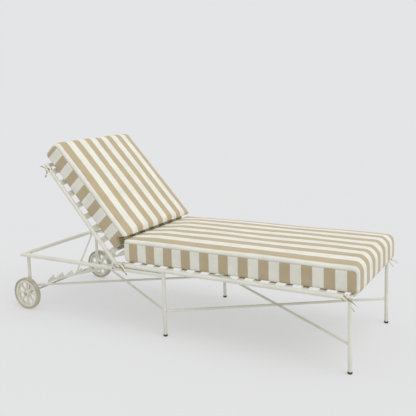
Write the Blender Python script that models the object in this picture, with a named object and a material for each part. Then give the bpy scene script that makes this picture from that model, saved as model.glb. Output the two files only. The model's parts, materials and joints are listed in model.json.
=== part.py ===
"""Reclining sun lounger: a welded steel frame on four legs and two wheels, with a hinged backrest,
a prop that stands in toothed racks, and two box cushions tied on with tapes.

Metres, +Z up. +X runs from the head end (wheels) to the foot end, and the near side is -Y.
The origin is on the ground, under the middle of the outline.
"""

import math

import bmesh
import bpy
from mathutils import Matrix, Vector

# ---------------------------------------------------------------- driving dimensions
HALF_WIDTH = 0.315        # from the middle to the axis of a side rail
RAIL_R = 0.0105           # radius of the rail tubes
LEG_R = 0.0095            # radius of legs and wheel posts
BRACE_R = 0.0065          # radius of the crossed stretchers
PROP_R = 0.0045           # radius of the prop's rods
GAP = 0.0003              # between pieces that touch

SEAT_Z = 0.330            # axis of the seat rails and of the backrest hinge
BASE_Z = 0.3085           # axis of the base rails, one tube below the seat rails
BRACE_Z = 0.128           # axis of the crossed stretchers

HEAD_TUBE_X = -0.926
POST_X = -0.902           # wheel posts and axle
HINGE_X = -0.268
RACK_TUBE_X = -0.259
MID_LEG_X = 0.020
FOOT_LEG_X = 0.946

RECLINE = math.radians(48.5)
BACK_LENGTH = 0.655       # from the hinge to the axis of the backrest's head tube
EYE_R = 0.0102            # radius of the eye on a backrest tube's lower end
EYE_HALF = 0.0100         # half the eye's length along the hinge

WHEEL_R = 0.0889
TYRE_INNER_R = 0.0790
WHEEL_IN_Y = HALF_WIDTH - 0.010
WHEEL_OUT_Y = HALF_WIDTH + 0.020
POST_Y = HALF_WIDTH - RAIL_R - LEG_R - 0.0005
AXLE_R = 0.005
SPOKES = 8

SLAT_WIDTH = 0.030
SLAT_THICK = 0.004
SEAT_SLATS = 15
SEAT_SLAT_FIRST_X = -0.183
SEAT_SLAT_PITCH = 0.0775
BACK_SLATS = 8
BACK_SLAT_FIRST = 0.068
BACK_SLAT_PITCH = 0.0765
SEAT_RISE = 0.0015        # how far a seat slat's middle stands above its ends
BACK_RISE_HINGE = 0.024   # the same for the backrest's bowed slats, at the hinge end
BACK_RISE_HEAD = 0.010    # and at the head end

RACK_Y = 0.235
RACK_THICK = 0.005
RACK_LOW_X = -0.823
RACK_LOW_Z = BRACE_Z + BRACE_R + GAP
RACK_SLOPE = math.atan(0.2995)
TOOTH_PITCH = 0.0726      # along the rack
TEETH = 5
FIRST_TIP = 0.058         # from the rack's low end to its first tooth tip
TIP_HEIGHT = 0.039
STRIP_LOW = 0.006          # the strip between the teeth and the frame starts this far up
NOTCH_FLOOR = 0.017
HELD_NOTCH = 4            # the notch that the prop stands in

PROP_ALONG = 0.216        # prop pivot, from the hinge along the backrest
PROP_BELOW = 0.030        # and below the side tubes' axes
PROP_ARM_Y = 0.2925
CHEEK_REACH = 0.026       # from the hinge to the far end's centre of a cheek plate
LUG_OUT_Y = HALF_WIDTH - RAIL_R - 0.0005
LUG_THICK = 0.005

CUSHION_HALF_WIDTH = 0.320
SEAT_CUSHION_HEAD_X = -0.232
SEAT_CUSHION_FOOT_X = 0.9909
SEAT_CUSHION_LOW_Z = SEAT_Z + RAIL_R + SLAT_THICK + SEAT_RISE + GAP
SEAT_CUSHION_TOP_Z = 0.466
BACK_CUSHION_LOW = RAIL_R + SLAT_THICK + BACK_RISE_HINGE + 0.0010
BACK_CUSHION_DEPTH = 0.119
BACK_CUSHION_START = 0.066
BACK_CUSHION_END = 0.716
BACK_SLOPE = 0.0229       # how fast the slats' tops, and so the cushion, come down to the tubes


# ---------------------------------------------------------------- materials and basic makers
def material(name, colour, roughness, metallic=0.0):
    made = bpy.data.materials.new(name)
    made.use_nodes = True
    shader = made.node_tree.nodes["Principled BSDF"]
    shader.inputs["Base Color"].default_value = (*colour, 1.0)
    shader.inputs["Roughness"].default_value = roughness
    shader.inputs["Metallic"].default_value = metallic
    return made


def clear_scene():
    for old in list(bpy.data.objects):
        bpy.data.objects.remove(old)


def node(name, mesh_source, finish, parent=None, smooth=True):
    """Turns a bmesh into a named object with its own material."""
    bmesh.ops.recalc_face_normals(mesh_source, faces=mesh_source.faces)
    mesh = bpy.data.meshes.new(name)
    mesh_source.to_mesh(mesh)
    mesh_source.free()
    if smooth:
        mesh.shade_smooth()
        mesh.set_sharp_from_angle(angle=math.radians(35))
    made = bpy.data.objects.new(name, mesh)
    bpy.context.scene.collection.objects.link(made)
    mesh.materials.append(material(name + "_finish", *finish))
    made.parent = parent
    return made


def rod_mesh(start, end, radius, sides=20):
    """A closed round rod between two points."""
    start, end = Vector(start), Vector(end)
    shape = bmesh.new()
    turn = (end - start).to_track_quat("Z", "Y").to_matrix().to_4x4()
    place = Matrix.Translation((start + end) / 2) @ turn
    bmesh.ops.create_cone(shape, cap_ends=True, segments=sides, radius1=radius, radius2=radius,
                          depth=(end - start).length, matrix=place)
    return shape


def rod(name, start, end, radius, finish, parent=None, sides=20):
    return node(name, rod_mesh(start, end, radius, sides), finish, parent)


def box_mesh(low, high):
    low, high = Vector(low), Vector(high)
    shape = bmesh.new()
    size = Matrix.Diagonal((*(high - low), 1.0))
    bmesh.ops.create_cube(shape, size=1.0, matrix=Matrix.Translation((low + high) / 2) @ size)
    return shape


def trim(shape, point, outward):
    """Cuts off what lies outside a plane and closes the cut."""
    parts = shape.verts[:] + shape.edges[:] + shape.faces[:]
    cut = bmesh.ops.bisect_plane(shape, geom=parts, plane_co=point, plane_no=outward, clear_outer=True)
    rim = [part for part in cut["geom_cut"] if isinstance(part, bmesh.types.BMEdge)]
    bmesh.ops.holes_fill(shape, edges=rim)
    return shape


def turned_mesh(profile, axis, segments, hollow):
    """Turns a profile of (radius, along) points round the Y or Z axis. A hollow profile is a closed
    loop round an open middle; a solid one begins and ends on the axis."""
    shape = bmesh.new()
    rings = []
    for turn in range(segments):
        angle = 2 * math.pi * turn / segments
        across = Vector((math.sin(angle), 0.0, -math.cos(angle)))
        along = Vector((0.0, 1.0, 0.0))
        if axis == "Z":
            across = Vector((math.sin(angle), -math.cos(angle), 0.0))
            along = Vector((0.0, 0.0, 1.0))
        rings.append([shape.verts.new(across * r + along * a) for r, a in profile])
    count = len(profile)
    for turn in range(segments):
        this, following = rings[turn], rings[(turn + 1) % segments]
        for step in range(count if hollow else count - 1):
            after = (step + 1) % count
            shape.faces.new((this[step], following[step], following[after], this[after]))
    bmesh.ops.remove_doubles(shape, verts=shape.verts, dist=1e-6)
    bmesh.ops.dissolve_degenerate(shape, dist=1e-6, edges=shape.edges)
    return shape


def prism_mesh(outline, low_y, high_y):
    """An outline of (x, z) points, extruded along Y."""
    shape = bmesh.new()
    face = shape.faces.new([shape.verts.new((x, low_y, z)) for x, z in outline])
    side = bmesh.ops.extrude_face_region(shape, geom=[face])
    moved = [part for part in side["geom"] if isinstance(part, bmesh.types.BMVert)]
    bmesh.ops.translate(shape, verts=moved, vec=(0.0, high_y - low_y, 0.0))
    return shape


def combine(target, shapes, operation):
    """Joins to the target, or cuts from it, the closed shapes given, and bakes the result."""
    for shape in shapes:
        bmesh.ops.recalc_face_normals(shape, faces=shape.faces)
        mesh = bpy.data.meshes.new("tool")
        shape.to_mesh(mesh)
        shape.free()
        tool = bpy.data.objects.new("tool", mesh)
        bpy.context.scene.collection.objects.link(tool)
        tool.parent = target.parent
        change = target.modifiers.new("change", "BOOLEAN")
        change.operation = operation
        change.object = tool
        seen = target.evaluated_get(bpy.context.evaluated_depsgraph_get())
        result = bpy.data.meshes.new_from_object(seen)
        target.modifiers.clear()
        old = target.data
        target.data = result
        bpy.data.meshes.remove(old)
        bpy.data.objects.remove(tool)
    return target


def side_name(side):
    return "near" if side < 0 else "far"


def arc(centre, radius, start, end, steps):
    """Points on an arc, with angles in degrees."""
    turns = [math.radians(start + (end - start) * step / steps) for step in range(steps + 1)]
    return [(centre[0] + radius * math.cos(turn), centre[1] + radius * math.sin(turn)) for turn in turns]


POWDER_COAT = ((0.76, 0.74, 0.62), 0.42)
RACK_COAT = ((0.70, 0.68, 0.56), 0.45)
ZINC = ((0.62, 0.62, 0.60), 0.35, 1.0)
RUBBER = ((0.012, 0.012, 0.012), 0.6)
TYRE = ((0.45, 0.40, 0.28), 0.7)
WHEEL_PAINT = ((0.74, 0.71, 0.58), 0.45)
CLOTH = ((0.62, 0.53, 0.36), 0.9)
TAPE = ((0.66, 0.58, 0.42), 0.9)


# ---------------------------------------------------------------- the standing frame
def mitred_tube(name, start, end, radius, finish, cuts, parent=None):
    """A tube with its ends cut on planes, each plane a point and an outward direction."""
    shape = rod_mesh(start, end, radius)
    for point, outward in cuts:
        trim(shape, Vector(point), Vector(outward).normalized())
    return node(name, shape, finish, parent)


def make_rails():
    reach = HALF_WIDTH + 2 * RAIL_R
    for side in (-1, 1):
        y = side * HALF_WIDTH
        label = side_name(side)
        corner = (FOOT_LEG_X - GAP, y, SEAT_Z)
        seat_start = HINGE_X + RAIL_R + 0.0015
        mitred_tube("seat_rail_" + label, (seat_start, y, SEAT_Z), (FOOT_LEG_X + 0.03, y, SEAT_Z),
                    RAIL_R, POWDER_COAT, [(corner, (1, -side, 0))])
        corner = (HEAD_TUBE_X + GAP, y, BASE_Z)
        rail = mitred_tube("base_rail_" + label, (HEAD_TUBE_X - 0.03, y, BASE_Z), (MID_LEG_X, y, BASE_Z),
                           RAIL_R, POWDER_COAT, [(corner, (-1, -side, 0))])
        leg_space = rod_mesh((MID_LEG_X, y, 0.2), (MID_LEG_X, y, 0.4), LEG_R + GAP)
        combine(rail, [leg_space, box_mesh((MID_LEG_X, y - 0.02, 0.2), (MID_LEG_X + 0.02, y + 0.02, 0.4))],
                "DIFFERENCE")
    ends = ((FOOT_LEG_X, -reach, SEAT_Z), (FOOT_LEG_X, reach, SEAT_Z))
    mitred_tube("foot_cross_tube", *ends, RAIL_R, POWDER_COAT,
                [((FOOT_LEG_X + GAP, side * HALF_WIDTH, SEAT_Z), (-1, side, 0)) for side in (-1, 1)])
    ends = ((HEAD_TUBE_X, -reach, BASE_Z), (HEAD_TUBE_X, reach, BASE_Z))
    mitred_tube("head_cross_tube", *ends, RAIL_R, POWDER_COAT,
                [((HEAD_TUBE_X - GAP, side * HALF_WIDTH, BASE_Z), (1, side, 0)) for side in (-1, 1)])
    between = HALF_WIDTH + 0.002
    ends = ((RACK_TUBE_X, -between, BASE_Z), (RACK_TUBE_X, between, BASE_Z))
    tube = rod("rack_cross_tube", *ends, LEG_R, POWDER_COAT)
    for side in (-1, 1):
        y = side * HALF_WIDTH
        combine(tube, [rod_mesh((-0.9, y, BASE_Z), (0.0, y, BASE_Z), RAIL_R + GAP)], "DIFFERENCE")
        combine(tube, [box_mesh((-0.4, min(y, y * 1.1), 0.2), (-0.1, max(y, y * 1.1), 0.4))], "DIFFERENCE")


def make_leg(name, x, y):
    """A leg whose top is coped to fit under the seat rail."""
    leg = rod("leg_" + name, (x, y, 0.0040), (x, y, SEAT_Z), LEG_R, POWDER_COAT)
    combine(leg, [rod_mesh((x - 0.04, y, SEAT_Z), (x + 0.04, y, SEAT_Z), RAIL_R + GAP),
                  box_mesh((x - 0.03, y - 0.03, SEAT_Z), (x + 0.03, y + 0.03, SEAT_Z + 0.03))], "DIFFERENCE")
    if x > MID_LEG_X:
        combine(leg, [rod_mesh((x, y - 0.04, SEAT_Z), (x, y + 0.04, SEAT_Z), RAIL_R + GAP)], "DIFFERENCE")
    wall = 0.0009
    top = 0.0100
    hole = LEG_R + GAP
    outer = hole + wall
    cup = [(0.0, 0.0), (outer - 0.002, 0.0), (outer, 0.002), (outer, top), (hole, top)]
    cup += [(hole, 0.0037), (0.0, 0.0037)]
    glide = node("glide_" + name, turned_mesh(cup, "Z", 20, False), RUBBER)
    glide.location = (x, y, 0.0)


def make_legs():
    for side in (-1, 1):
        make_leg("mid_" + side_name(side), MID_LEG_X, side * HALF_WIDTH)
        make_leg("foot_" + side_name(side), FOOT_LEG_X, side * HALF_WIDTH)


def make_stretchers():
    """Two flat crosses of thin rod: from the posts to the middle legs, and from those to the foot legs."""
    def span(first, second, first_trim, second_trim):
        first, second = Vector(first), Vector(second)
        way = (second - first).normalized()
        return first + way * first_trim, second - way * second_trim

    butt = LEG_R + GAP
    for part, x0, y0, x1, y1 in (("head", POST_X, POST_Y, MID_LEG_X, HALF_WIDTH),
                                 ("foot", MID_LEG_X, HALF_WIDTH, FOOT_LEG_X, HALF_WIDTH)):
        ends = [(x0, -y0, BRACE_Z), (x1, y1, BRACE_Z)]
        start, end = span(*ends, butt, butt)
        rod(part + "_brace_through", start, end, BRACE_R, POWDER_COAT, sides=16)
        share = y0 / (y0 + y1)
        middle = (x0 + (x1 - x0) * share, 0.0, BRACE_Z)
        lean = math.atan2(y0 + y1, x1 - x0)
        clearance = (BRACE_R + BRACE_R * math.cos(2 * lean)) / math.sin(2 * lean) + GAP
        start, end = span((x0, y0, BRACE_Z), middle, butt, clearance)
        rod(part + "_brace_half_far", start, end, BRACE_R, POWDER_COAT, sides=16)
        start, end = span(middle, (x1, -y1, BRACE_Z), clearance, butt)
        rod(part + "_brace_half_near", start, end, BRACE_R, POWDER_COAT, sides=16)


def make_posts_and_axle():
    cap_reach = 0.007
    for side in (-1, 1):
        y = side * POST_Y
        label = side_name(side)
        ends = ((POST_X, y, WHEEL_R - 0.016), (POST_X, y, BASE_Z + 0.006))
        post = rod("wheel_post_" + label, *ends, LEG_R, POWDER_COAT)
        combine(post, [rod_mesh((POST_X, y - 0.03, WHEEL_R), (POST_X, y + 0.03, WHEEL_R), AXLE_R + GAP)],
                "DIFFERENCE")
        inner, outer = POST_Y + LEG_R + GAP, WHEEL_IN_Y - GAP
        washer = [(AXLE_R + GAP, inner), (0.010, inner), (0.010, outer), (AXLE_R + GAP, outer)]
        washer_side = [(r, a * side) for r, a in washer]
        ring = node("axle_washer_" + label, turned_mesh(washer_side, "Y", 24, True), ZINC)
        ring.location = (POST_X, 0.0, WHEEL_R)
        start = WHEEL_OUT_Y + GAP
        tip = start + cap_reach
        dome = [(0.0, tip + 0.002), (0.005, tip + 0.0012), (0.0082, tip - 0.002), (0.0095, start + 0.0015),
                (0.0095, start), (AXLE_R + GAP, start), (AXLE_R + GAP, tip - 0.001),
                (0.0, start + cap_reach - 0.001)]
        cap = node("axle_cap_" + label, turned_mesh([(r, a * side) for r, a in dome], "Y", 24, False), ZINC)
        cap.location = (POST_X, 0.0, WHEEL_R)
    reach = WHEEL_OUT_Y + cap_reach - 0.002
    rod("wheel_axle", (POST_X, -reach, WHEEL_R), (POST_X, reach, WHEEL_R), AXLE_R, ZINC, sides=16)


def rack_outline():
    """The rack's side view in (along, up) before it is tilted: a strip with hooked teeth.
    Each tooth slopes up towards the hinge end and drops sharply behind its tip."""
    hook = [(0.0, TIP_HEIGHT), (-0.0015, TIP_HEIGHT - 0.009), (-0.001, NOTCH_FLOOR + 0.008),
            (0.003, NOTCH_FLOOR + 0.002), (0.010, NOTCH_FLOOR), (0.017, NOTCH_FLOOR + 0.003)]
    ramp = [(0.032, NOTCH_FLOOR + 0.010), (0.050, NOTCH_FLOOR + 0.016), (0.063, NOTCH_FLOOR + 0.020)]
    upper_end = (RACK_TUBE_X - LEG_R - GAP - RACK_LOW_X) / math.cos(RACK_SLOPE)
    points = [(0.018, 0.0), (0.004, 0.0), (0.0, 0.006), (0.012, 0.018), (0.032, 0.027), (0.048, 0.034)]
    for tooth in range(TEETH):
        tip = FIRST_TIP + tooth * TOOTH_PITCH
        points += [(tip + along, up) for along, up in hook]
        if tooth < TEETH - 1:
            points += [(tip + along, up) for along, up in ramp]
    last = FIRST_TIP + (TEETH - 1) * TOOTH_PITCH
    points += [(last + 0.034, 0.027), (last + 0.062, 0.029), (upper_end, 0.022), (upper_end, STRIP_LOW)]
    points += [(0.034, STRIP_LOW)]
    return points


def tilt(point):
    """From the rack's own (along, up) to world (x, z)."""
    along, up = point
    x = RACK_LOW_X + along * math.cos(RACK_SLOPE) - up * math.sin(RACK_SLOPE)
    z = RACK_LOW_Z + along * math.sin(RACK_SLOPE) + up * math.cos(RACK_SLOPE)
    return x, z


def make_racks():
    for side in (-1, 1):
        y = side * RACK_Y
        outline = [tilt(point) for point in rack_outline()]
        rack = node("rack_" + side_name(side), prism_mesh(outline, y - RACK_THICK / 2, y + RACK_THICK / 2),
                    RACK_COAT, smooth=False)
        keep_off = RACK_TUBE_X - LEG_R - GAP
        combine(rack, [box_mesh((keep_off, y - 0.01, 0.2), (keep_off + 0.1, y + 0.01, 0.4))], "DIFFERENCE")


def slat_mesh(start, width, half_length, low, rise, thick):
    """A flat bar across the frame whose ends step down on to the tubes."""
    step_in = 0.030
    ends = half_length
    line = [(-ends, low), (-ends + 0.012, low), (-ends + step_in, low + rise),
            (ends - step_in, low + rise), (ends - 0.012, low), (ends, low)]
    outline = line + [(y, z + thick) for y, z in reversed(line)]
    shape = bmesh.new()
    face = shape.faces.new([shape.verts.new((start, y, z)) for y, z in outline])
    side = bmesh.ops.extrude_face_region(shape, geom=[face])
    moved = [part for part in side["geom"] if isinstance(part, bmesh.types.BMVert)]
    bmesh.ops.translate(shape, verts=moved, vec=(width, 0.0, 0.0))
    return shape


def make_slats(name, starts, low, rises, parent):
    """Slats joined by the flat bar that is welded along their middles."""
    bar_depth = 0.005
    bite = 0.001
    first = (starts[0] + SLAT_WIDTH / 2, low + rises[0] + bite)
    last = (starts[-1] + SLAT_WIDTH / 2, low + rises[-1] + bite)
    lean = (last[1] - first[1]) / (last[0] - first[0])
    outline = []
    for x in (min(starts), max(starts) + SLAT_WIDTH):
        outline.append((x, first[1] + lean * (x - first[0])))
    outline += [(x, z - bar_depth) for x, z in reversed(outline)]
    bar = node(name, prism_mesh(outline, -0.012, 0.012), POWDER_COAT, parent, smooth=False)
    slats = [slat_mesh(start, SLAT_WIDTH, HALF_WIDTH - 0.002, low, rise, SLAT_THICK)
             for start, rise in zip(starts, rises)]
    return combine(bar, slats, "UNION")


def make_hinges():
    """Two cheek plates on each seat rail, with the backrest's eye between them and a bolt through all."""
    thick = 0.003
    for side in (-1, 1):
        label = side_name(side)
        outer_y, inner_y = HALF_WIDTH + RAIL_R + GAP, HALF_WIDTH - RAIL_R - GAP - thick
        for place, near_y in (("outer", outer_y), ("inner", inner_y)):
            y0, y1 = sorted((side * near_y, side * (near_y + thick)))
            outline = arc((HINGE_X, SEAT_Z), 0.0095, 90, 270, 8)
            outline += arc((HINGE_X + CHEEK_REACH, SEAT_Z), 0.0095, -90, 90, 8)
            cheek_name = "hinge_cheek_" + place + "_" + label
            cheek = node(cheek_name, prism_mesh(outline, y0, y1), POWDER_COAT, smooth=False)
            bolt_hole = rod_mesh((HINGE_X, y0 - 0.01, SEAT_Z), (HINGE_X, y1 + 0.01, SEAT_Z), 0.0033)
            combine(cheek, [bolt_hole], "DIFFERENCE")
        outer = HALF_WIDTH + RAIL_R + thick + 2 * GAP
        inner = HALF_WIDTH - RAIL_R - thick - 2 * GAP
        bolt = [(0.0, outer + 0.0034), (0.0035, outer + 0.0028), (0.0055, outer + 0.0008), (0.0055, outer),
                (0.0030, outer), (0.0030, inner - 0.0048), (0.0, inner - 0.0048)]
        bolt_side = [(r, a * side) for r, a in bolt]
        made = node("hinge_bolt_" + label, turned_mesh(bolt_side, "Y", 20, False), ZINC)
        made.location = (HINGE_X, 0.0, SEAT_Z)
        nut = [(0.0038, inner), (0.0062, inner), (0.0062, inner - 0.0040), (0.0038, inner - 0.0040)]
        nut_side = [(r, a * side) for r, a in nut]
        made = node("hinge_nut_" + label, turned_mesh(nut_side, "Y", 6, True), ZINC, smooth=False)
        made.location = (HINGE_X, 0.0, SEAT_Z)


# ---------------------------------------------------------------- the moving parts
def make_wheel(side):
    """A moulded wheel with eight openings between its spokes, and its tyre. Both turn on the axle."""
    label = side_name(side)
    width = WHEEL_OUT_Y - WHEEL_IN_Y
    bore = AXLE_R + 0.0005
    half = width / 2
    rim_half, web_half = 0.0115, 0.004
    profile = [(bore, -half), (0.0140, -half), (0.0170, -half + 0.006), (0.0185, -web_half),
               (0.0650, -web_half), (0.0668, -rim_half), (0.0765, -rim_half), (TYRE_INNER_R - GAP, -rim_half + 0.003)]
    profile += [(r, -a) for r, a in reversed(profile)]
    centre = (POST_X, side * (WHEEL_IN_Y + half), WHEEL_R)
    wheel = node("wheel_" + label, turned_mesh(profile, "Y", 48, True), WHEEL_PAINT)
    wheel.location = centre
    openings = []
    for spoke in range(SPOKES):
        angle = 2 * math.pi * (spoke + 0.5) / SPOKES
        opening = bmesh.new()
        turns = [2 * math.pi * step / 16 for step in range(16)]
        ring = []
        for turn in turns:
            outward = 0.0430 + 0.0208 * math.cos(turn)
            across = (0.0136 + 0.0088 * math.cos(turn)) * math.sin(turn)
            x = POST_X + outward * math.sin(angle) + across * math.cos(angle)
            z = WHEEL_R - outward * math.cos(angle) + across * math.sin(angle)
            ring.append(opening.verts.new((x, centre[1] - 0.02, z)))
        cap = opening.faces.new(ring)
        through = bmesh.ops.extrude_face_region(opening, geom=[cap])
        moved = [part for part in through["geom"] if isinstance(part, bmesh.types.BMVert)]
        bmesh.ops.translate(opening, verts=moved, vec=(0.0, 0.04, 0.0))
        openings.append(opening)
    combine(wheel, openings, "DIFFERENCE")
    tread = [(TYRE_INNER_R, -0.0105), (WHEEL_R - 0.004, -0.0145), (WHEEL_R - 0.001, -0.0125)]
    tread += [(WHEEL_R, -0.007)]
    tread += [(r, -a) for r, a in reversed(tread)]
    tyre = node("tyre_" + label, turned_mesh(tread, "Y", 64, True), TYRE)
    tyre.location = centre


def joint_empty(name, location, parent=None):
    made = bpy.data.objects.new(name, None)
    bpy.context.scene.collection.objects.link(made)
    made.location = location
    made.parent = parent
    return made


def make_backrest():
    """Modelled lying flat towards -X from its hinge, then raised by turning the hinge empty."""
    hinge = joint_empty("backrest_hinge", (HINGE_X, 0.0, SEAT_Z))
    reach = HALF_WIDTH + 2 * RAIL_R
    for side in (-1, 1):
        y = side * HALF_WIDTH
        corner = (-BACK_LENGTH + GAP, y, 0.0)
        far_end = (-BACK_LENGTH - 0.03, y, 0.0)
        tube = mitred_tube("back_side_tube_" + side_name(side), (0.0, y, 0.0), far_end,
                           RAIL_R, POWDER_COAT, [(corner, (-1, -side, 0))], hinge)
        combine(tube, [rod_mesh((0.0, y - EYE_HALF, 0.0), (0.0, y + EYE_HALF, 0.0), EYE_R, 24)], "UNION")
        combine(tube, [rod_mesh((0.0, y - 0.03, 0.0), (0.0, y + 0.03, 0.0), 0.0035)], "DIFFERENCE")
        out_y = side * LUG_OUT_Y
        in_y = side * (LUG_OUT_Y - LUG_THICK)
        low_y, high_y = min(out_y, in_y), max(out_y, in_y)
        outline = arc((-PROP_ALONG, -PROP_BELOW), 0.009, 180, 360, 8) + [(-PROP_ALONG + 0.014, 0.003),
                                                                       (-PROP_ALONG - 0.014, 0.003)]
        plate = prism_mesh(outline, low_y, high_y)
        lug = node("prop_lug_" + side_name(side), plate, POWDER_COAT, hinge, smooth=False)
        hole = rod_mesh((-PROP_ALONG, low_y - 0.01, -PROP_BELOW), (-PROP_ALONG, high_y + 0.01, -PROP_BELOW),
                        PROP_R + GAP)
        combine(lug, [hole], "DIFFERENCE")
    ends = ((-BACK_LENGTH, -reach, 0.0), (-BACK_LENGTH, reach, 0.0))
    mitred_tube("back_head_tube", *ends, RAIL_R, POWDER_COAT,
                [((-BACK_LENGTH - GAP, side * HALF_WIDTH, 0.0), (1, side, 0)) for side in (-1, 1)], hinge)
    starts = [-BACK_SLAT_FIRST - BACK_SLAT_PITCH * step - SLAT_WIDTH / 2 for step in range(BACK_SLATS)]
    drop = (BACK_RISE_HINGE - BACK_RISE_HEAD) / (BACK_SLATS - 1)
    rises = [BACK_RISE_HINGE - drop * step for step in range(BACK_SLATS)]
    make_slats("back_slats", starts, RAIL_R + GAP, rises, hinge)
    return hinge


def prop_foot():
    """Where the prop's foot stands: just above the floor of its notch."""
    along = FIRST_TIP + (HELD_NOTCH - 1) * TOOTH_PITCH + 0.0085
    x, z = tilt((along, NOTCH_FLOOR + PROP_R + 0.003))
    return x, z


def make_prop(hinge):
    """Two arms on a cross rod that turns in the lugs. Each arm's foot turns in towards its rack."""
    pivot = joint_empty("prop_pivot", (-PROP_ALONG, 0.0, -PROP_BELOW), hinge)
    pivot_x = HINGE_X - PROP_ALONG * math.cos(RECLINE) - PROP_BELOW * math.sin(RECLINE)
    pivot_z = SEAT_Z + PROP_ALONG * math.sin(RECLINE) - PROP_BELOW * math.cos(RECLINE)
    foot_x, foot_z = prop_foot()
    length = math.hypot(pivot_x - foot_x, pivot_z - foot_z)
    swing = math.atan2(pivot_x - foot_x, pivot_z - foot_z)
    pivot.rotation_euler = (0.0, swing - RECLINE, 0.0)
    rod_end = LUG_OUT_Y - 0.0008
    rod("prop_cross_rod", (0.0, -rod_end, 0.0), (0.0, rod_end, 0.0), PROP_R, POWDER_COAT, pivot, 16)
    pin_end = RACK_Y + RACK_THICK / 2 + 0.0008
    for side in (-1, 1):
        y = side * PROP_ARM_Y
        arm = rod("prop_arm_" + side_name(side), (0.0, y, -PROP_R - GAP), (0.0, y, -length - PROP_R), PROP_R,
                  POWDER_COAT, pivot, 16)
        foot = rod_mesh((0.0, y + side * PROP_R, -length), (0.0, side * pin_end, -length), PROP_R, 16)
        combine(arm, [foot], "UNION")
    return length, swing


# ---------------------------------------------------------------- cushions and ties
def soft_block(name, outline, bevel, parent=None):
    """A cushion's plain solid: a side outline extruded across, with its long edges rounded."""
    shape = prism_mesh(outline, -CUSHION_HALF_WIDTH, CUSHION_HALF_WIDTH)
    bmesh.ops.recalc_face_normals(shape, faces=shape.faces)
    caps = [face for face in shape.faces if abs(face.normal.y) > 0.9]
    rims = list({edge for face in caps for edge in face.edges})
    bmesh.ops.bevel(shape, geom=rims, offset=bevel, segments=3, profile=0.5, affect="EDGES",
                    clamp_overlap=True)
    return node(name, shape, CLOTH, parent)


def make_cushions(hinge):
    low, top = SEAT_CUSHION_LOW_Z, SEAT_CUSHION_TOP_Z
    head, foot = SEAT_CUSHION_HEAD_X, SEAT_CUSHION_FOOT_X
    big, small = 0.032, 0.014
    outline = arc((foot - small, low + small), small, -90, 0, 3) + arc((foot - big, top - big), big, 0, 90, 6)
    outline += arc((head + small, top - small), small, 90, 180, 3)
    outline += arc((head + small, low + small), small, 180, 270, 3)
    soft_block("seat_cushion", outline, 0.010)

    low, top = BACK_CUSHION_LOW, BACK_CUSHION_LOW + BACK_CUSHION_DEPTH
    start, end = -BACK_CUSHION_START, -BACK_CUSHION_END
    nook = (start - 0.041, 0.104)
    outline = [(start - small, low), (start, low + small), nook, (start - 0.004, top - 0.006),
               (start - 0.012, top)]
    big = 0.042
    outline += arc((end + big, top - big), big, 90, 180, 6)
    outline += arc((end + small, low + small), small, 180, 270, 3)
    leaned = [(x, z + BACK_SLOPE * (x - start)) for x, z in outline]
    soft_block("back_cushion", leaned, 0.010, hinge)


def tie_mesh_parts(centre, side, drop, tail_way):
    """A tape round the tube or tubes, its knot outside, and two tails."""
    x, y, z = centre
    knot_y = y + side * (RAIL_R + 0.0068)
    knot = box_mesh((x - 0.013, knot_y - 0.006, z - 0.008), (x + 0.013, knot_y + 0.006, z + 0.006))
    tails = []
    for spread in (0.0, 1.0):
        begin = Vector((x + tail_way * 0.008, knot_y, z - 0.002 - 0.004 * spread))
        way = Vector((tail_way * (0.70 - 0.2 * spread), side * 0.28, -0.22 - 0.40 * spread)).normalized()
        tail = bmesh.new()
        size = Matrix.Diagonal((0.066 - 0.008 * spread, 0.0024, 0.009, 1.0))
        turn = way.to_track_quat("X", "Z").to_matrix().to_4x4()
        bmesh.ops.create_cube(tail, size=1.0, matrix=Matrix.Translation(begin + way * 0.030) @ turn @ size)
        tails.append(tail)
    loop_low = z - drop
    return loop_low, knot, tails


def make_tie(name, centre, side, drop, tail_way, parent=None):
    """drop is how far below the tube's axis a second tube lies that the tape also goes round."""
    x, y, z = centre
    inner, outer, half = RAIL_R + 0.0004, RAIL_R + 0.0026, 0.009
    loop_low, knot, tails = tie_mesh_parts(centre, side, drop, tail_way)

    def loop_outline(radius):
        return arc((y, z), radius, 0, 180, 10) + arc((y, loop_low), radius, 180, 360, 10)

    def band(radius, width):
        shape = bmesh.new()
        face = shape.faces.new([shape.verts.new((x - width, a, b)) for a, b in loop_outline(radius)])
        out = bmesh.ops.extrude_face_region(shape, geom=[face])
        moved = [part for part in out["geom"] if isinstance(part, bmesh.types.BMVert)]
        bmesh.ops.translate(shape, verts=moved, vec=(2 * width, 0.0, 0.0))
        return shape

    tie = node(name, band(outer, half), TAPE, parent, smooth=False)
    combine(tie, [knot] + tails, "UNION")
    combine(tie, [band(inner, half + 0.03)], "DIFFERENCE")


def make_ties(hinge):
    for side in (-1, 1):
        y = side * HALF_WIDTH
        label = side_name(side)
        make_tie("tie_seat_head_" + label, (HINGE_X + 0.0500, y, SEAT_Z), side, SEAT_Z - BASE_Z, 1)
        make_tie("tie_seat_foot_" + label, (FOOT_LEG_X - 0.0195, y, SEAT_Z), side, 0.0, 1)
        make_tie("tie_back_head_" + label, (-BACK_LENGTH + 0.0262, y, 0.0), side, 0.0, -1, hinge)


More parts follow.
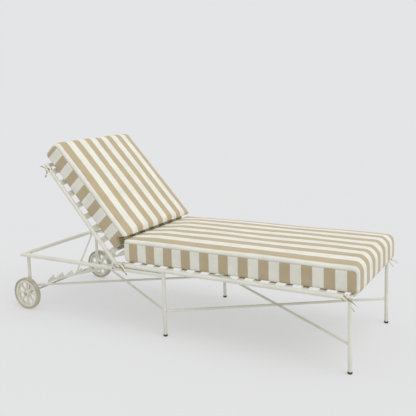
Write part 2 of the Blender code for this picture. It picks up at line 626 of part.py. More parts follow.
# ---------------------------------------------------------------- build
def main():
    clear_scene()
    make_rails()
    make_legs()
    make_stretchers()
    make_posts_and_axle()
    make_racks()
    seat_starts = [SEAT_SLAT_FIRST_X + SEAT_SLAT_PITCH * step - SLAT_WIDTH / 2 for step in range(SEAT_SLATS)]
    make_slats("seat_slats", seat_starts, SEAT_Z + RAIL_R + GAP, [SEAT_RISE] * SEAT_SLATS, None)
    make_hinges()
    for side in (-1, 1):
        make_wheel(side)
    hinge = make_backrest()
    length, swing = make_prop(hinge)
    make_cushions(hinge)
    make_ties(hinge)
    hinge.rotation_euler = (0.0, RECLINE, 0.0)
    bpy.context.view_layer.update()
    print("prop length", round(length, 4), "leaning", round(math.degrees(swing), 2), "degrees")


main()
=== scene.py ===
# %% [markdown]
# # A reclining sun lounger
#
# The real object is a slim frame of welded steel tube on four legs and two wheels. A backrest turns on
# a hinge and is held up by a prop that stands in two toothed racks. Two striped box cushions lie on flat
# slats and are tied to the frame with narrow tapes.
#
# The frame was modelled as solids first, so here it arrives finished in shape. This lesson gives every
# surface its finish, and makes the soft parts: the cushions and the ties.

# %% Load the frame
import json
import math

import bpy
from mathutils import Matrix, Vector


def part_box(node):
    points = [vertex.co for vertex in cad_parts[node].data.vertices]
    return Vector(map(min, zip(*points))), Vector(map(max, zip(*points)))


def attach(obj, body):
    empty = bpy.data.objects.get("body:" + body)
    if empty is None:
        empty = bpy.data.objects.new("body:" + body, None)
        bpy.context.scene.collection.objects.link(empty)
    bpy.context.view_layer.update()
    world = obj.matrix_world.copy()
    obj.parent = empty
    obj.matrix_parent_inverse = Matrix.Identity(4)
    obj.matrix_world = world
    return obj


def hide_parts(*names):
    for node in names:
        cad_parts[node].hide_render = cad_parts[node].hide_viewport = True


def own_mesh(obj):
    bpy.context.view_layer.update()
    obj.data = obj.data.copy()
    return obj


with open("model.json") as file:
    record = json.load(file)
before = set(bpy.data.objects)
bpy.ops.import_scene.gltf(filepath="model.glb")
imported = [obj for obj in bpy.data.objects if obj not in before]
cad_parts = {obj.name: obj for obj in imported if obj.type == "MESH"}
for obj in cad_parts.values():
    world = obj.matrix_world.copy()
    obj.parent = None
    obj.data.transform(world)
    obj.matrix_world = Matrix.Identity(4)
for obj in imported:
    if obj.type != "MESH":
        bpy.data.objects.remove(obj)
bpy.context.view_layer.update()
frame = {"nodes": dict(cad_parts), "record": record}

# %% [markdown]
# ## Camera and light
#
# The lounger is seen from a standing person's eye height, with a lens a little longer than normal, so
# that the long seat isn't stretched. Blender's camera is placed with a matrix made of three directions:
# right, up and back. A small roll is part of the picture.
#
# The room is a bright studio. A pale world lights everything evenly. One very wide distant light from above
# and from the foot end makes the tops and the foot end lighter than the near side, which is what shows the
# box shape of the cushions.

# %% The camera
CAMERA_PLACE = Vector((1.6729, -2.7638, 1.2162))
YAW, PITCH, ROLL = math.radians(-29.52), math.radians(7.31), math.radians(-1.56)

ahead = Vector((math.sin(YAW) * math.cos(PITCH), math.cos(YAW) * math.cos(PITCH), -math.sin(PITCH)))
level_right = Vector((math.cos(YAW), -math.sin(YAW), 0.0))
level_up = level_right.cross(ahead)
right = math.cos(ROLL) * level_right + math.sin(ROLL) * level_up
upward = math.cos(ROLL) * level_up - math.sin(ROLL) * level_right

lens = bpy.data.cameras.new("camera")
lens.lens = 53.88
lens.sensor_width = 36.0
lens.shift_y = -0.10
camera = bpy.data.objects.new("camera", lens)
bpy.context.scene.collection.objects.link(camera)
turn = Matrix((right, upward, -ahead)).transposed().to_4x4()
camera.matrix_world = Matrix.Translation(CAMERA_PLACE) @ turn
bpy.context.scene.camera = camera
print("camera", round(CAMERA_PLACE.z, 2), "m above the ground")


# %% The room
def soft_sky(name, toward, spread, strength):
    """A very wide distant light: as even as a wall of studio panels. toward points at the panels."""
    light = bpy.data.lights.new(name, "SUN")
    light.angle = math.radians(spread)
    light.energy = strength
    lamp = bpy.data.objects.new(name, light)
    bpy.context.scene.collection.objects.link(lamp)
    lamp.rotation_euler = Vector(toward).to_track_quat("Z", "Y").to_euler()
    return lamp


room = bpy.data.worlds.new("room")
room.use_nodes = True
room.node_tree.nodes["Background"].inputs["Color"].default_value = (0.985, 0.99, 1.0, 1.0)
room.node_tree.nodes["Background"].inputs["Strength"].default_value = 0.79
bpy.context.scene.world = room
bpy.context.scene.view_settings.view_transform = "Standard"

soft_sky("ceiling_panels", (1.1, -0.15, 1.9), 50.0, 1.22)

# %% [markdown]
# ## Writing materials as sums
#
# A material in Blender is a set of connected nodes. Written out node by node it is long and hard to
# read, so a small class stands for one output socket, and adding or multiplying two of them adds the
# Math node that does it. A second class holds one material and has a method for any other node.


# %% A socket that can be used in sums
class Wire:
    def __init__(self, finish, socket):
        self.finish = finish
        self.socket = socket

    def sum_node(self, operation, *values):
        math_node = self.finish.tree.nodes.new("ShaderNodeMath")
        math_node.operation = operation
        for place, value in zip(math_node.inputs, values):
            self.finish.feed(place, value)
        return Wire(self.finish, math_node.outputs[0])

    def __add__(self, other):
        return self.sum_node("ADD", self, other)

    def __radd__(self, other):
        return self.sum_node("ADD", other, self)

    def __sub__(self, other):
        return self.sum_node("SUBTRACT", self, other)

    def __rsub__(self, other):
        return self.sum_node("SUBTRACT", other, self)

    def __mul__(self, other):
        return self.sum_node("MULTIPLY", self, other)

    def __rmul__(self, other):
        return self.sum_node("MULTIPLY", other, self)

    def __truediv__(self, other):
        return self.sum_node("DIVIDE", self, other)

    def __gt__(self, other):
        return self.sum_node("GREATER_THAN", self, other)

    def sine(self):
        return self.sum_node("SINE", self)

    def size(self):
        return self.sum_node("ABSOLUTE", self)

    def part(self):
        """What is left over after whole numbers."""
        return self.sum_node("FRACT", self)

    def larger(self, other):
        return self.sum_node("MAXIMUM", self, other)

    def smaller(self, other):
        return self.sum_node("MINIMUM", self, other)

    def power(self, other):
        return self.sum_node("POWER", self, other)

    def ramp(self, low, high):
        """0 below low, 1 above high, and even between them."""
        return self.finish.node("ShaderNodeMapRange", {"interpolation_type": "SMOOTHSTEP"},
                                **{"Value": self, "From Min": low, "From Max": high}).out("Result")


class Placed:
    """A node that has been made, so that its outputs can be taken by name."""

    def __init__(self, finish, made):
        self.finish = finish
        self.made = made

    def out(self, name):
        return Wire(self.finish, self.made.outputs[name])


# %% A material
class Finish:
    def __init__(self, name):
        self.material = bpy.data.materials.new(name)
        self.material.use_nodes = True
        self.tree = self.material.node_tree
        self.shader = self.tree.nodes["Principled BSDF"]

    def feed(self, place, value):
        """Joins a wire to a socket, or sets the socket's own value."""
        if isinstance(value, Wire):
            self.tree.links.new(value.socket, place)
        else:
            place.default_value = value

    def node(self, kind, settings=None, **values):
        made = self.tree.nodes.new(kind)
        for name, value in (settings or {}).items():
            setattr(made, name, value)
        for name, value in values.items():
            self.feed(made.inputs[name], value)
        return Placed(self, made)

    def shade(self, **values):
        """Sets the shader's sockets: Base_Color stands for Base Color."""
        for name, value in values.items():
            self.feed(self.shader.inputs[name.replace("_", " ")], value)

    def places(self):
        """The point on the piece, and its x, y and z."""
        point = self.node("ShaderNodeTexCoord").out("Object")
        parts = self.node("ShaderNodeSeparateXYZ", Vector=point)
        return point, parts.out("X"), parts.out("Y"), parts.out("Z")

    def vector_sum(self, operation, point, second):
        """A sum on whole points, such as SUBTRACT or MULTIPLY, with a fixed second vector."""
        made = self.node("ShaderNodeVectorMath", {"operation": operation}, Vector=point)
        made.made.inputs[1].default_value = second
        return made.out("Vector")

    def noise(self, point, scale, detail=2.0, roughness=0.5):
        return self.node("ShaderNodeTexNoise", Vector=point, Scale=scale, Detail=detail,
                         Roughness=roughness).out("Fac")

    def mix(self, amount, first, second):
        """One colour turning into another."""
        mixer = self.tree.nodes.new("ShaderNodeMix")
        mixer.data_type = "RGBA"
        self.feed(mixer.inputs[0], amount)
        self.feed(mixer.inputs[6], first)
        self.feed(mixer.inputs[7], second)
        return Wire(self, mixer.outputs[2])

    def bump(self, height, strength, distance):
        self.shade(Normal=self.node("ShaderNodeBump", Height=height, Strength=strength,
                                    Distance=distance).out("Normal"))


print("two small classes are ready")

# %% [markdown]
# ## Painted tube
#
# The frame is steel tube with an off-white powder coat. Powder coat is sprayed on dry and baked, which
# leaves a very fine orange peel: a satin surface with tiny soft bumps. Outdoors it also gathers a little
# dust and warms in tone where hands and straps rub. Two noises of different size give the peel and the
# uneven tone. Nothing is flat grey or flat white on such a frame.


# %% Powder coat
def powder_coat(name, light, worn, peel=0.10):
    coat = Finish(name)
    point, x, y, z = coat.places()
    patches = coat.noise(point, 9.0, 4.0, 0.6).ramp(0.38, 0.72)
    specks = coat.noise(point, 420.0, 2.0, 0.6).ramp(0.63, 0.72)
    tone = coat.mix(patches * 0.55, (*light, 1.0), (*worn, 1.0))
    # The paint colour is darkened by up to a quarter over the lowest 10 cm, towards the ground.
    low_darkening = (0.10 - z).ramp(0.0, 0.10) * 0.25
    tone = coat.mix(low_darkening, tone, (0.47, 0.44, 0.36, 1.0))
    coat.shade(Base_Color=coat.mix(specks * 0.18, tone, (0.42, 0.39, 0.31, 1.0)))
    coat.shade(Roughness=0.40 + 0.14 * patches)
    coat.shade(Coat_Weight=0.15)
    grain = coat.noise(point, 900.0, 2.0, 0.5)
    swell = coat.noise(point, 160.0, 1.0, 0.5)
    coat.bump(grain * 0.5 + swell, peel, 0.0006)
    return coat.material


tube_paint = powder_coat("tube_paint", (0.755, 0.745, 0.655), (0.66, 0.64, 0.54))
rack_paint = powder_coat("rack_paint", (0.73, 0.72, 0.63), (0.62, 0.60, 0.50), 0.16)
print("paints:", tube_paint.name, rack_paint.name)

# %% [markdown]
# ## Small metal, rubber and wheel plastic
#
# Bolts and axle ends are zinc plated: a dull bright metal with faint blotches. The leg ends are black
# rubber with a matte mould texture. The wheels are moulded in cream plastic and carry a tan tyre, whose
# tread is dusty where it meets the ground.


# %% Zinc, rubber, plastic and tyre
def zinc_plate():
    zinc = Finish("zinc_plate")
    point, x, y, z = zinc.places()
    blotches = zinc.noise(point, 180.0, 3.0, 0.6)
    zinc.shade(Base_Color=zinc.mix(blotches, (0.38, 0.38, 0.36, 1.0), (0.56, 0.56, 0.53, 1.0)))
    zinc.shade(Metallic=1.0)
    zinc.shade(Roughness=0.26 + 0.2 * blotches)
    zinc.bump(zinc.noise(point, 700.0), 0.08, 0.0005)
    return zinc.material


def moulded(name, light, dark, roughness, scale, bump):
    plastic = Finish(name)
    point, x, y, z = plastic.places()
    patches = plastic.noise(point, 22.0, 4.0, 0.6).ramp(0.35, 0.7)
    dust = plastic.noise(point, 260.0, 3.0, 0.7).ramp(0.5, 0.75)
    tone = plastic.mix(patches, (*light, 1.0), (*dark, 1.0))
    plastic.shade(Base_Color=plastic.mix(dust * 0.25, tone, (0.50, 0.46, 0.38, 1.0)))
    plastic.shade(Roughness=roughness + 0.12 * dust)
    plastic.bump(plastic.noise(point, scale, 2.0, 0.6), bump, 0.0006)
    return plastic.material


zinc = zinc_plate()
rubber = moulded("leg_rubber", (0.016, 0.016, 0.016), (0.024, 0.023, 0.021), 0.55, 600.0, 0.2)
wheel_plastic = moulded("wheel_plastic", (0.74, 0.72, 0.60), (0.66, 0.63, 0.50), 0.42, 500.0, 0.10)
tyre_rubber = moulded("tyre_rubber", (0.50, 0.46, 0.35), (0.40, 0.36, 0.27), 0.70, 420.0, 0.30)
print("finishes made:", zinc.name, rubber.name, wheel_plastic.name, tyre_rubber.name)


# %% Give each frame node its finish
def finish_for(name):
    if name.startswith("tyre"):
        return tyre_rubber
    if name in ("wheel_near", "wheel_far"):
        return wheel_plastic
    if name.startswith("glide"):
        return rubber
    if name in ("rack_near", "rack_far"):
        return rack_paint
    if name.startswith(("axle", "wheel_axle", "hinge_bolt", "hinge_nut")):
        return zinc
    return tube_paint


for name, node in frame["nodes"].items():
    if not node.material_slots:
        node.data.materials.append(None)
    for slot in node.material_slots:
        slot.material = finish_for(name)
print("nodes painted:", len(frame["nodes"]))

# %% [markdown]
# ## Striped cloth
#
# The covers are cut from a woven canvas with two-inch stripes. The top panel runs its stripes along the
# lounger and wraps over both ends. The side panels are cut across the cloth, so their stripes stand
# upright. One material can do both: it measures where a point is on the cushion, and picks the stripe
# that runs the right way. The weave is a fine over-and-under pattern in the bump and the colour.
#
# The same material is used for both cushions. A Vector Rotate node turns the backrest's one into the
# cushion's own directions, because that cushion leans.

# %% Sizes that the cushions share
STRIPE = 0.0508
TOP_STRIPE = 0.0459
IVORY = (0.800, 0.795, 0.700, 1.0)
BEIGE = (0.500, 0.408, 0.256, 1.0)
HALF_WIDTH = 0.320
SIDE_DEPTH = 0.300
THREAD = 0.0017
THREAD_LUMPS = (60.0, 900.0, 900.0)
STITCH = 0.006

joints = {joint["name"]: joint for joint in frame["record"]["behaviour"]["joints"]}
hinge_x, hinge_y, hinge_z = joints["backrest_recline"]["pos_m"]
RECLINE = math.radians(48.5)
print("the backrest leans", round(math.degrees(RECLINE), 1), "degrees from flat")


# %% The cloth material
def cloth(name, panel, first_block, leaning):
    """panel is the side panel as (lowest x, highest x, lowest z, highest z, foot corner radius)."""
    weave = Finish(name)
    point = weave.node("ShaderNodeTexCoord").out("Object")
    if leaning:
        point = weave.vector_sum("SUBTRACT", point, (hinge_x, 0.0, hinge_z))
        point = weave.node("ShaderNodeVectorRotate", {"rotation_type": "Y_AXIS"}, Vector=point,
                           Angle=-leaning).out("Vector")
    parts = weave.node("ShaderNodeSeparateXYZ", Vector=point)
    x, y, z = parts.out("X"), parts.out("Y"), parts.out("Z")
    drift = (weave.noise(point, 4.5, 2.0) - 0.5) * 0.010
    low_x, high_x, low_z, high_z, corner = panel

    # how far outside the side panel's rounded outline a point is
    middle_x, middle_z = (low_x + high_x) / 2, (low_z + high_z) / 2
    across = ((x - middle_x).size() - ((high_x - low_x) / 2 - corner)).larger(0.0)
    above = ((z - middle_z).size() - ((high_z - low_z) / 2 - corner)).larger(0.0)
    outside = (across * across + above * above).power(0.5) - corner
    on_side = outside.ramp(0.0012, -0.0012) * (y.size() > SIDE_DEPTH)

    side_run = (x - first_block + drift * 0.5) / (2 * STRIPE)
    top_run = (y + drift * 0.35) / (2 * TOP_STRIPE) + 0.25
    soft = 0.010

    def stripes(run):
        """1 on a beige stripe, 0 on an ivory one, with a thread's softness between."""
        spot = (run.part() - 0.25).size()
        spot = spot.smaller(1.25 - run.part())
        return spot.ramp(0.25 + soft, 0.25 - soft)

    edge_band = y.size().ramp(6.5 * TOP_STRIPE + 0.001, 6.5 * TOP_STRIPE - 0.001)
    beige = stripes(top_run) * edge_band * (1.0 - on_side) + stripes(side_run) * on_side

    thread = 2 * math.pi / THREAD
    warp = (x * thread).sine() * (y * thread).sine() + (z * thread).sine() * 0.6
    slubs = weave.noise(weave.vector_sum("MULTIPLY", point, THREAD_LUMPS), 1.0, 1.0)
    shade = weave.noise(point, 14.0, 3.0, 0.6)
    ivory_tone = weave.mix(shade.ramp(0.3, 0.7), IVORY, (0.745, 0.735, 0.650, 1.0))
    beige_tone = weave.mix(shade.ramp(0.3, 0.7), BEIGE, (0.465, 0.376, 0.232, 1.0))
    tone = weave.mix(beige, ivory_tone, beige_tone)
    tone = weave.mix(slubs.ramp(0.55, 0.8) * 0.16, tone, (0.36, 0.31, 0.22, 1.0))
    tone = weave.mix((warp.ramp(0.2, 1.2)) * 0.10, tone, (0.30, 0.26, 0.19, 1.0))

    # Along the side seams the colour is darkened by up to 38%: painted shade in the seam's groove. The same
    # mask also sinks the bump there.
    seam_groove_and_shade = outside.size().ramp(0.0028, 0.0004) * (y.size() > SIDE_DEPTH)
    stitches = (x * (2 * math.pi / STITCH)).sine() > 0.1
    stitches = stitches * outside.ramp(0.0035, 0.0045) * outside.ramp(0.0062, 0.0052)
    tone = weave.mix(seam_groove_and_shade * 0.38, tone, (0.26, 0.22, 0.15, 1.0))
    stitches = stitches * (y.size() > SIDE_DEPTH)
    weave.shade(Base_Color=weave.mix(stitches * 0.30, tone, (0.50, 0.46, 0.36, 1.0)))
    weave.shade(Roughness=0.88 + 0.08 * shade)
    weave.shade(Sheen_Weight=0.25)
    weave.shade(Sheen_Roughness=0.5)
    weave.bump(warp * 0.5 + slubs * 1.5 + shade * 2.0 - seam_groove_and_shade * 4.0, 0.35, 0.0006)
    return weave.material


# %% [markdown]
# ## The cushions' shape
#
# A box cushion is foam inside a sewn cover. The foam pushes outwards, the seams hold the edges, so the
# panels swell between them. The top also wraps down over the foot end in one piece, which makes that
# edge very round. The block is a cube with its edges bevelled by different amounts. Then it is remeshed
# into even small faces, and Blender's cloth simulation blows it up a little, as the foam does. How far
# each point may move is capped, so that the cushion keeps its size and lies flat on the slats.


# %% Helpers for edit mode
def only(thing):
    """Makes one object the only one that is selected and active."""
    if bpy.context.object and bpy.context.object.mode != "OBJECT":
        bpy.ops.object.mode_set(mode="OBJECT")
    bpy.ops.object.select_all(action="DESELECT")
    thing.select_set(True)
    bpy.context.view_layer.objects.active = thing


def block(name, low, high):
    """A cube primitive at its place and size, with its place in its mesh."""
    low, high = Vector(low), Vector(high)
    bpy.ops.object.select_all(action="DESELECT")
    bpy.ops.mesh.primitive_cube_add(size=1.0, location=(low + high) / 2)
    made = bpy.context.object
    made.name = name
    made.scale = high - low
    bpy.ops.object.transform_apply(location=True, rotation=True, scale=True)
    return made


def bevel_where(thing, wanted, offset, segments):
    """Bevels the edges whose middle and direction pass a test."""
    only(thing)
    bpy.ops.object.mode_set(mode="EDIT")
    bpy.ops.mesh.select_mode(type="EDGE")
    bpy.ops.mesh.select_all(action="DESELECT")
    bpy.ops.object.mode_set(mode="OBJECT")
    for edge in thing.data.edges:
        ends = [thing.data.vertices[index].co for index in edge.vertices]
        edge.select = wanted((ends[0] + ends[1]) / 2, (ends[1] - ends[0]).normalized())
    chosen = sum(edge.select for edge in thing.data.edges)
    bpy.ops.object.mode_set(mode="EDIT")
    bpy.ops.mesh.bevel(offset=offset, offset_type="OFFSET", segments=segments, profile=0.5, affect="EDGES")
    bpy.ops.object.mode_set(mode="OBJECT")
    return chosen


print("helpers for shaping are ready")


# %% Swell a block with cloth
def swell(thing, voxel, pressure, cap):
    """Remeshes, inflates with cloth, and holds each point within what cap(place, move) allows."""
    only(thing)
    change = thing.modifiers.new("even_faces", "REMESH")
    change.mode = "VOXEL"
    change.voxel_size = voxel
    bpy.ops.object.modifier_apply(modifier=change.name)
    before = [vertex.co.copy() for vertex in thing.data.vertices]
    cover = thing.modifiers.new("cover", "CLOTH")
    cover.settings.quality = 5
    cover.settings.mass = 0.3
    cover.settings.tension_stiffness = 12.0
    cover.settings.compression_stiffness = 12.0
    cover.settings.bending_stiffness = 2.0
    cover.settings.use_pressure = True
    cover.settings.uniform_pressure_force = pressure
    cover.settings.effector_weights.gravity = 0.0
    cover.collision_settings.use_collision = False
    cover.point_cache.frame_start = 1
    cover.point_cache.frame_end = 20
    for step in range(1, 21):
        bpy.context.scene.frame_set(step)
    bpy.ops.object.modifier_apply(modifier=cover.name)
    bpy.context.scene.frame_set(1)
    for vertex, start in zip(thing.data.vertices, before):
        vertex.co = start + cap(start, vertex.co - start)
    smooth = thing.modifiers.new("smooth", "SMOOTH")
    smooth.factor = 0.5
    smooth.iterations = 4
    bpy.ops.object.modifier_apply(modifier=smooth.name)
    finer = thing.modifiers.new("finer", "SUBSURF")
    finer.levels = 1
    finer.render_levels = 1
    bpy.ops.object.modifier_apply(modifier=finer.name)
    bpy.ops.object.shade_smooth()
    return thing


# %% [markdown]
# The cloth alone can't know where the seams pull in. So after the simulation, points near the seam line
# are drawn inwards by about two millimetres, with a soft falloff, and the top gets the slight
# dents that a sat-on foam cushion keeps.


# %% Seams and sat-on dents
def rounded_distance(x, z, panel):
    """How far outside the side panel's rounded outline a point is."""
    low_x, high_x, low_z, high_z, corner = panel
    across = max(abs(x - (low_x + high_x) / 2) - ((high_x - low_x) / 2 - corner), 0.0)
    above = max(abs(z - (low_z + high_z) / 2) - ((high_z - low_z) / 2 - corner), 0.0)
    return math.hypot(across, above) - corner


def sew(thing, panel, low, high, phase):
    """Draws the side seams in and gives the top soft dents. The cushion lies flat and unturned."""
    for vertex in thing.data.vertices:
        x, y, z = vertex.co
        side = max(0.0, min(1.0, (abs(y) - 0.295) / 0.012))
        pull = math.exp(-((rounded_distance(x, z, panel) / 0.0045) ** 2)) * side
        vertex.co.y -= math.copysign(0.0020 * pull, y)
        wave = math.sin(x * 11.0 + phase + 2.0 * math.sin(y * 7.0)) * math.cos(y * 9.0 + phase)
        ripple = math.sin(x * 31.0 + y * 5.0 + phase) * side
        top = max(0.0, min(1.0, (z - (low + high) / 2) / 0.03))
        vertex.co.z += 0.0016 * wave * top
        vertex.co.y += math.copysign(0.0010 * ripple, y)


def lean(thing, extra=0.0):
    """Turns a piece that was made lying flat, with the hinge at the origin, up to the backrest's angle."""
    turned = Matrix.Rotation(RECLINE - extra, 4, "Y")
    thing.data.transform(Matrix.Translation((hinge_x, 0.0, hinge_z)) @ turned)


# %% The seat cushion
seat_low, seat_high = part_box("seat_cushion")
SEAT_HEAD, SEAT_FOOT = seat_low[0] + 0.004, seat_high[0] - 0.001
SEAT_BASE, SEAT_TOP = seat_low[2] + 0.0005, seat_high[2] - 0.001
SEAT_PANEL = (SEAT_HEAD - 0.10, SEAT_FOOT - 0.020, SEAT_BASE - 0.10, SEAT_TOP - 0.021, 0.014)
SEAT_FIRST = -0.185

PAD_HALF = HALF_WIDTH - 0.005
seat = block("seat_pad", (SEAT_HEAD, -PAD_HALF, SEAT_BASE), (SEAT_FOOT, PAD_HALF, SEAT_TOP))
bevel_where(seat, lambda m, d: abs(d.y) > 0.9 and m.x > 0 and m.z > 0.4, 0.029, 5)
bevel_where(seat, lambda m, d: abs(d.y) > 0.9 and m.x > 0 and m.z < 0.36, 0.014, 3)
bevel_where(seat, lambda m, d: abs(d.y) > 0.9 and m.x < 0, 0.014, 3)
bevel_where(seat, lambda m, d: abs(m.y) > HALF_WIDTH - 0.006, 0.012, 3)


def seat_cap(start, move):
    crown = 0.015 * max(0.0, 1.0 - ((start.y / HALF_WIDTH) ** 4))
    limit_up = crown * min(1.0, max(0.0, (start.x - SEAT_HEAD - 0.02) / 0.14))
    move = Vector((max(-0.003, min(0.004, move.x)), max(-0.005, min(0.005, move.y)), move.z))
    move.z = max(0.0, min(move.z, limit_up if start.z > 0.40 else 0.0))
    return move


swell(seat, 0.009, 4.0, seat_cap)
sew(seat, SEAT_PANEL, SEAT_BASE, SEAT_TOP, 0.4)
seat.data.materials.clear()
seat.data.materials.append(cloth("seat_cloth", SEAT_PANEL, SEAT_FIRST, 0.0))
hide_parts("seat_cushion")
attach(seat, "frame")
print("seat cushion:", len(seat.data.polygons), "faces")

# %% [markdown]
# ## The back cushion
#
# It is made lying flat, as if the backrest were down, with the hinge at the origin. That keeps every
# number simple. Only then is it turned up to the backrest's angle. It is the same pattern of cover: a
# top panel that wraps over the head end, and side panels with upright stripes.

# %% The back cushion
BACK_SLOPE = math.atan(0.0229)
BACK_NEAR_HINGE, BACK_FAR = -0.058, -0.716
BACK_BASE, BACK_TOP = 0.041, 0.157
BACK_PANEL = (BACK_FAR + 0.018, BACK_NEAR_HINGE - 0.006, BACK_BASE - 0.10, BACK_TOP - 0.022, 0.022)
NOOK = (0.1000, 0.1030)
BACK_FIRST = -0.117

back = block("back_pad", (BACK_FAR, -PAD_HALF, BACK_BASE), (BACK_NEAR_HINGE, PAD_HALF, BACK_TOP))
bevel_where(back, lambda m, d: abs(d.y) > 0.9 and m.x < -0.4 and m.z > 0.1, 0.042, 6)
bevel_where(back, lambda m, d: abs(d.y) > 0.9 and m.x < -0.4 and m.z < 0.1, 0.016, 3)
bevel_where(back, lambda m, d: abs(d.y) > 0.9 and m.x > -0.4 and m.z < 0.1, 0.014, 3)
bevel_where(back, lambda m, d: abs(m.y) > HALF_WIDTH - 0.006, 0.012, 3)


def back_cap(start, move):
    limit_up = 0.016 * max(0.0, 1.0 - ((start.y / HALF_WIDTH) ** 4))
    limit_out = 0.012 * max(0.0, 1.0 - ((start.y / HALF_WIDTH) ** 4)) if start.x < BACK_FAR + 0.05 else 0.003
    move = Vector((max(-limit_out, min(0.003, move.x)), max(-0.005, min(0.005, move.y)), move.z))
    move.z = max(0.0, min(move.z, limit_up if start.z > 0.12 else 0.0))
    return move


def press_in(thing):
    """The seat cushion's edge presses a long nook into the lower end, and it has room up to full recline."""
    deep, high = NOOK
    for vertex in thing.data.vertices:
        rise = vertex.co.z - high
        least = deep - (0.74 * rise if rise > 0 else -1.664 * rise)
        vertex.co.x = min(vertex.co.x, -least)


swell(back, 0.009, 4.0, back_cap)
sew(back, BACK_PANEL, BACK_BASE, BACK_TOP, 2.1)
press_in(back)
lean(back, BACK_SLOPE)
back.data.materials.clear()
back.data.materials.append(cloth("back_cloth", BACK_PANEL, BACK_FIRST, RECLINE - BACK_SLOPE))
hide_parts("back_cushion")
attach(back, "backrest")
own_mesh(back)
print("back cushion:", len(back.data.polygons), "faces")

# %% [markdown]
# ## Ties
#
# Each tie is a narrow folded tape of the same cloth. It goes round the tube and is knotted once, and its
# two ends hang free, a little curled. A tape is a strip of faces pushed along a path: it starts as one
# face, its end edge is extruded from point to point, and then it is given its thickness.


# %% A tape along a path
def tape(name, points, across, thickness=0.0042, width=0.0125):
    """Extrudes a strip through the points. across gives the strip's width direction at each point."""
    bpy.ops.object.select_all(action="DESELECT")
    bpy.ops.mesh.primitive_plane_add(size=1.0)
    strip = bpy.context.object
    strip.name = name
    corners = []
    for index, step in ((0, 0), (1, 0), (2, 1), (3, 1)):
        side = -1 if index in (0, 2) else 1
        corners.append(Vector(points[step]) + Vector(across[step]).normalized() * side * width / 2)
    for vertex, corner in zip(strip.data.vertices, corners):
        vertex.co = corner
    for step in range(1, len(points) - 1):
        bpy.ops.object.mode_set(mode="EDIT")
        bpy.ops.mesh.select_mode(type="VERT")
        bpy.ops.mesh.select_all(action="DESELECT")
        bpy.ops.object.mode_set(mode="OBJECT")
        count = len(strip.data.vertices)
        for vertex in list(strip.data.vertices)[count - 2:]:
            vertex.select = True
        bpy.ops.object.mode_set(mode="EDIT")
        bpy.ops.mesh.extrude_edges_move()
        bpy.ops.object.mode_set(mode="OBJECT")
        newest = list(strip.data.vertices)[-2:]
        older = list(strip.data.vertices)[count - 2:count]
        for vertex, source in zip(newest, older):
            offset = source.co - Vector(points[step])
            side = 1 if offset.dot(Vector(across[step])) > 0 else -1
            vertex.co = Vector(points[step + 1]) + Vector(across[step + 1]).normalized() * side * width / 2
    only(strip)
    for kind, settings in (("SOLIDIFY", {"thickness": thickness, "offset": 0.0}),
                           ("SUBSURF", {"levels": 2, "render_levels": 2})):
        change = strip.modifiers.new(kind.lower(), kind)
        for key, value in settings.items():
            setattr(change, key, value)
        bpy.ops.object.modifier_apply(modifier=change.name)
    bpy.ops.object.mode_set(mode="EDIT")
    bpy.ops.mesh.select_all(action="SELECT")
    bpy.ops.mesh.normals_make_consistent(inside=False)
    bpy.ops.object.mode_set(mode="OBJECT")
    bpy.ops.object.shade_smooth()
    return strip


def tape_cloth():
    """Folded canvas: mostly ivory with a beige thread band."""
    fabric = Finish("tie_cloth")
    point, x, y, z = fabric.places()
    bands = ((x + y + z) * (2 * math.pi / 0.030)).sine().ramp(-0.1, 0.2)
    fine = fabric.noise(point, 900.0, 2.0)
    tone = fabric.mix(bands * 0.85, (0.78, 0.76, 0.66, 1.0), (0.33, 0.25, 0.13, 1.0))
    fabric.shade(Base_Color=fabric.mix(fine.ramp(0.5, 0.8) * 0.25, tone, (0.40, 0.35, 0.25, 1.0)))
    fabric.shade(Roughness=0.85 + 0.1 * fine)
    fabric.bump(fine, 0.4, 0.0006)
    return fabric.material


tie_finish = tape_cloth()


# %% One knotted tie
def tie(name, centre, side, drop, ways, size, body, turned):
    """A loop round the tube or tubes, a knot outside it, and two curling tails."""
    x, y, z = centre
    reach = 0.0125
    loop = []
    for step in range(17):
        turn = 2 * math.pi * step / 16 + (0.0 if side > 0 else math.pi)
        height = reach * math.sin(turn) - (drop if math.sin(turn) < -0.01 else 0.0)
        loop.append((x, y + reach * math.cos(turn), z + height))
    pieces = [tape(name + "_loop", loop, [(1.0, 0.0, 0.0)] * 17, width=0.013)]
    knot = Vector((x, y + side * (reach + 0.0045), z - 0.001))
    bpy.ops.object.select_all(action="DESELECT")
    bpy.ops.mesh.primitive_uv_sphere_add(segments=20, ring_count=12, radius=0.0088, location=knot)
    ball = bpy.context.object
    ball.name = name + "_knot"
    bpy.ops.object.transform_apply(location=True, rotation=True, scale=True)
    for vertex in ball.data.vertices:
        offset = vertex.co - knot
        angle = math.atan2(offset.z, offset.x)
        fold = 1.0 + 0.16 * math.sin(3 * angle + 40.0 * offset.y)
        vertex.co = knot + Vector((offset.x * 1.35 * fold, offset.y * 0.80, offset.z * 0.95 * fold))
    bpy.ops.object.shade_smooth()
    pieces.append(ball)
    for tail, (run, fall, length) in enumerate(((0.86, 0.26, 0.062), (0.68, 0.58, 0.057))):
        way = ways[tail]
        length *= size
        points, across = [], []
        for step in range(9):
            part = step / 8
            curl = 0.006 * math.sin(3.6 * part + 1.3 * tail)
            forward = way * (0.006 + run * length * part)
            outward = side * (0.002 + 0.018 * part + curl * 0.5)
            points.append(knot + Vector((forward, outward, -fall * length * part ** 1.25 + curl)))
            spin = 0.9 * part + 0.7 * tail
            flat = math.cos(spin)
            across.append((-way * fall * flat * 0.6, side * math.sin(spin), run * flat + 0.2))
        pieces.append(tape(name + f"_tail_{tail + 1}", points, across))
    bpy.ops.object.select_all(action="DESELECT")
    for piece in pieces:
        piece.select_set(True)
    bpy.context.view_layer.objects.active = pieces[0]
    bpy.ops.object.join()
    made = bpy.context.object
    made.name = name
    if turned:
        lean(made)
    made.data.materials.clear()
    made.data.materials.append(tie_finish)
    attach(made, body)
    return made


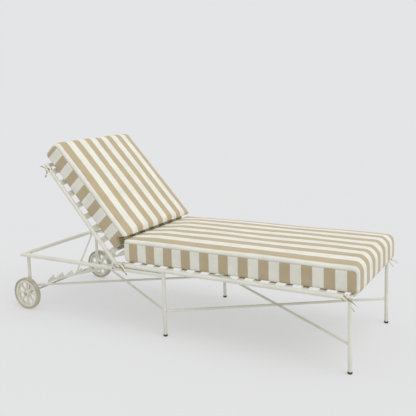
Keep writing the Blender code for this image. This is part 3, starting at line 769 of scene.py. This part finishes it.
# %% All six ties
RAIL_Y = 0.315
for side, label in ((-1, "near"), (1, "far")):
    spots = (("seat_head", (hinge_x + 0.050, side * RAIL_Y, hinge_z), 0.0215, (-1, 1), 0.9, "frame", False),
             ("seat_foot", (0.9265, side * RAIL_Y, hinge_z), 0.0, (1, 1), 1.1, "frame", False),
             ("back_head", (-0.6288, side * RAIL_Y, 0.0), 0.0, (-1, 1), 0.6, "backrest", True))
    for place, centre, drop, ways, size, body, turned in spots:
        made = tie("strap_" + place + "_" + label, centre, side, drop, ways, size, body, turned)
        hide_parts("tie_" + place + "_" + label)
print("ties made: 6")

# %% [markdown]
# ## Floor
#
# A plain pale sheet of studio paper, large enough to fill the view. Part of its light is its own glow,
# which keeps the shadow under the lounger as soft and pale as in a studio full of reflectors. Far away it
# fades into the colour of the room, so that no horizon shows.

# %% The floor
bpy.ops.object.select_all(action="DESELECT")
bpy.ops.mesh.primitive_plane_add(size=60.0, location=(0.0, 0.0, 0.0))
floor = bpy.context.object
floor.name = "studio_floor"
paper = Finish("studio_paper")
paper_point, paper_x, paper_y, paper_z = paper.places()
paper_tone = paper.noise(paper_point, 2.0, 3.0)
paper.shade(Base_Color=paper.mix(paper_tone, (0.300, 0.300, 0.302, 1.0), (0.308, 0.308, 0.310, 1.0)))
paper.shade(Roughness=1.0)
paper.shade(Specular_IOR_Level=0.0)
paper.shade(Emission_Color=(0.985, 0.988, 0.995, 1.0))
paper.shade(Emission_Strength=0.445)
far_off = (paper_x * paper_x + paper_y * paper_y).power(0.5).ramp(3.0, 14.0)
haze = paper.node("ShaderNodeEmission", Color=(0.985, 0.99, 1.0, 1.0), Strength=0.79)
blend = paper.node("ShaderNodeMixShader")
paper.feed(blend.made.inputs[0], far_off)
paper.tree.links.new(paper.shader.outputs[0], blend.made.inputs[1])
paper.tree.links.new(haze.made.outputs[0], blend.made.inputs[2])
paper.tree.links.new(blend.made.outputs[0], paper.tree.nodes["Material Output"].inputs["Surface"])
floor.data.materials.append(paper.material)
print("floor laid")
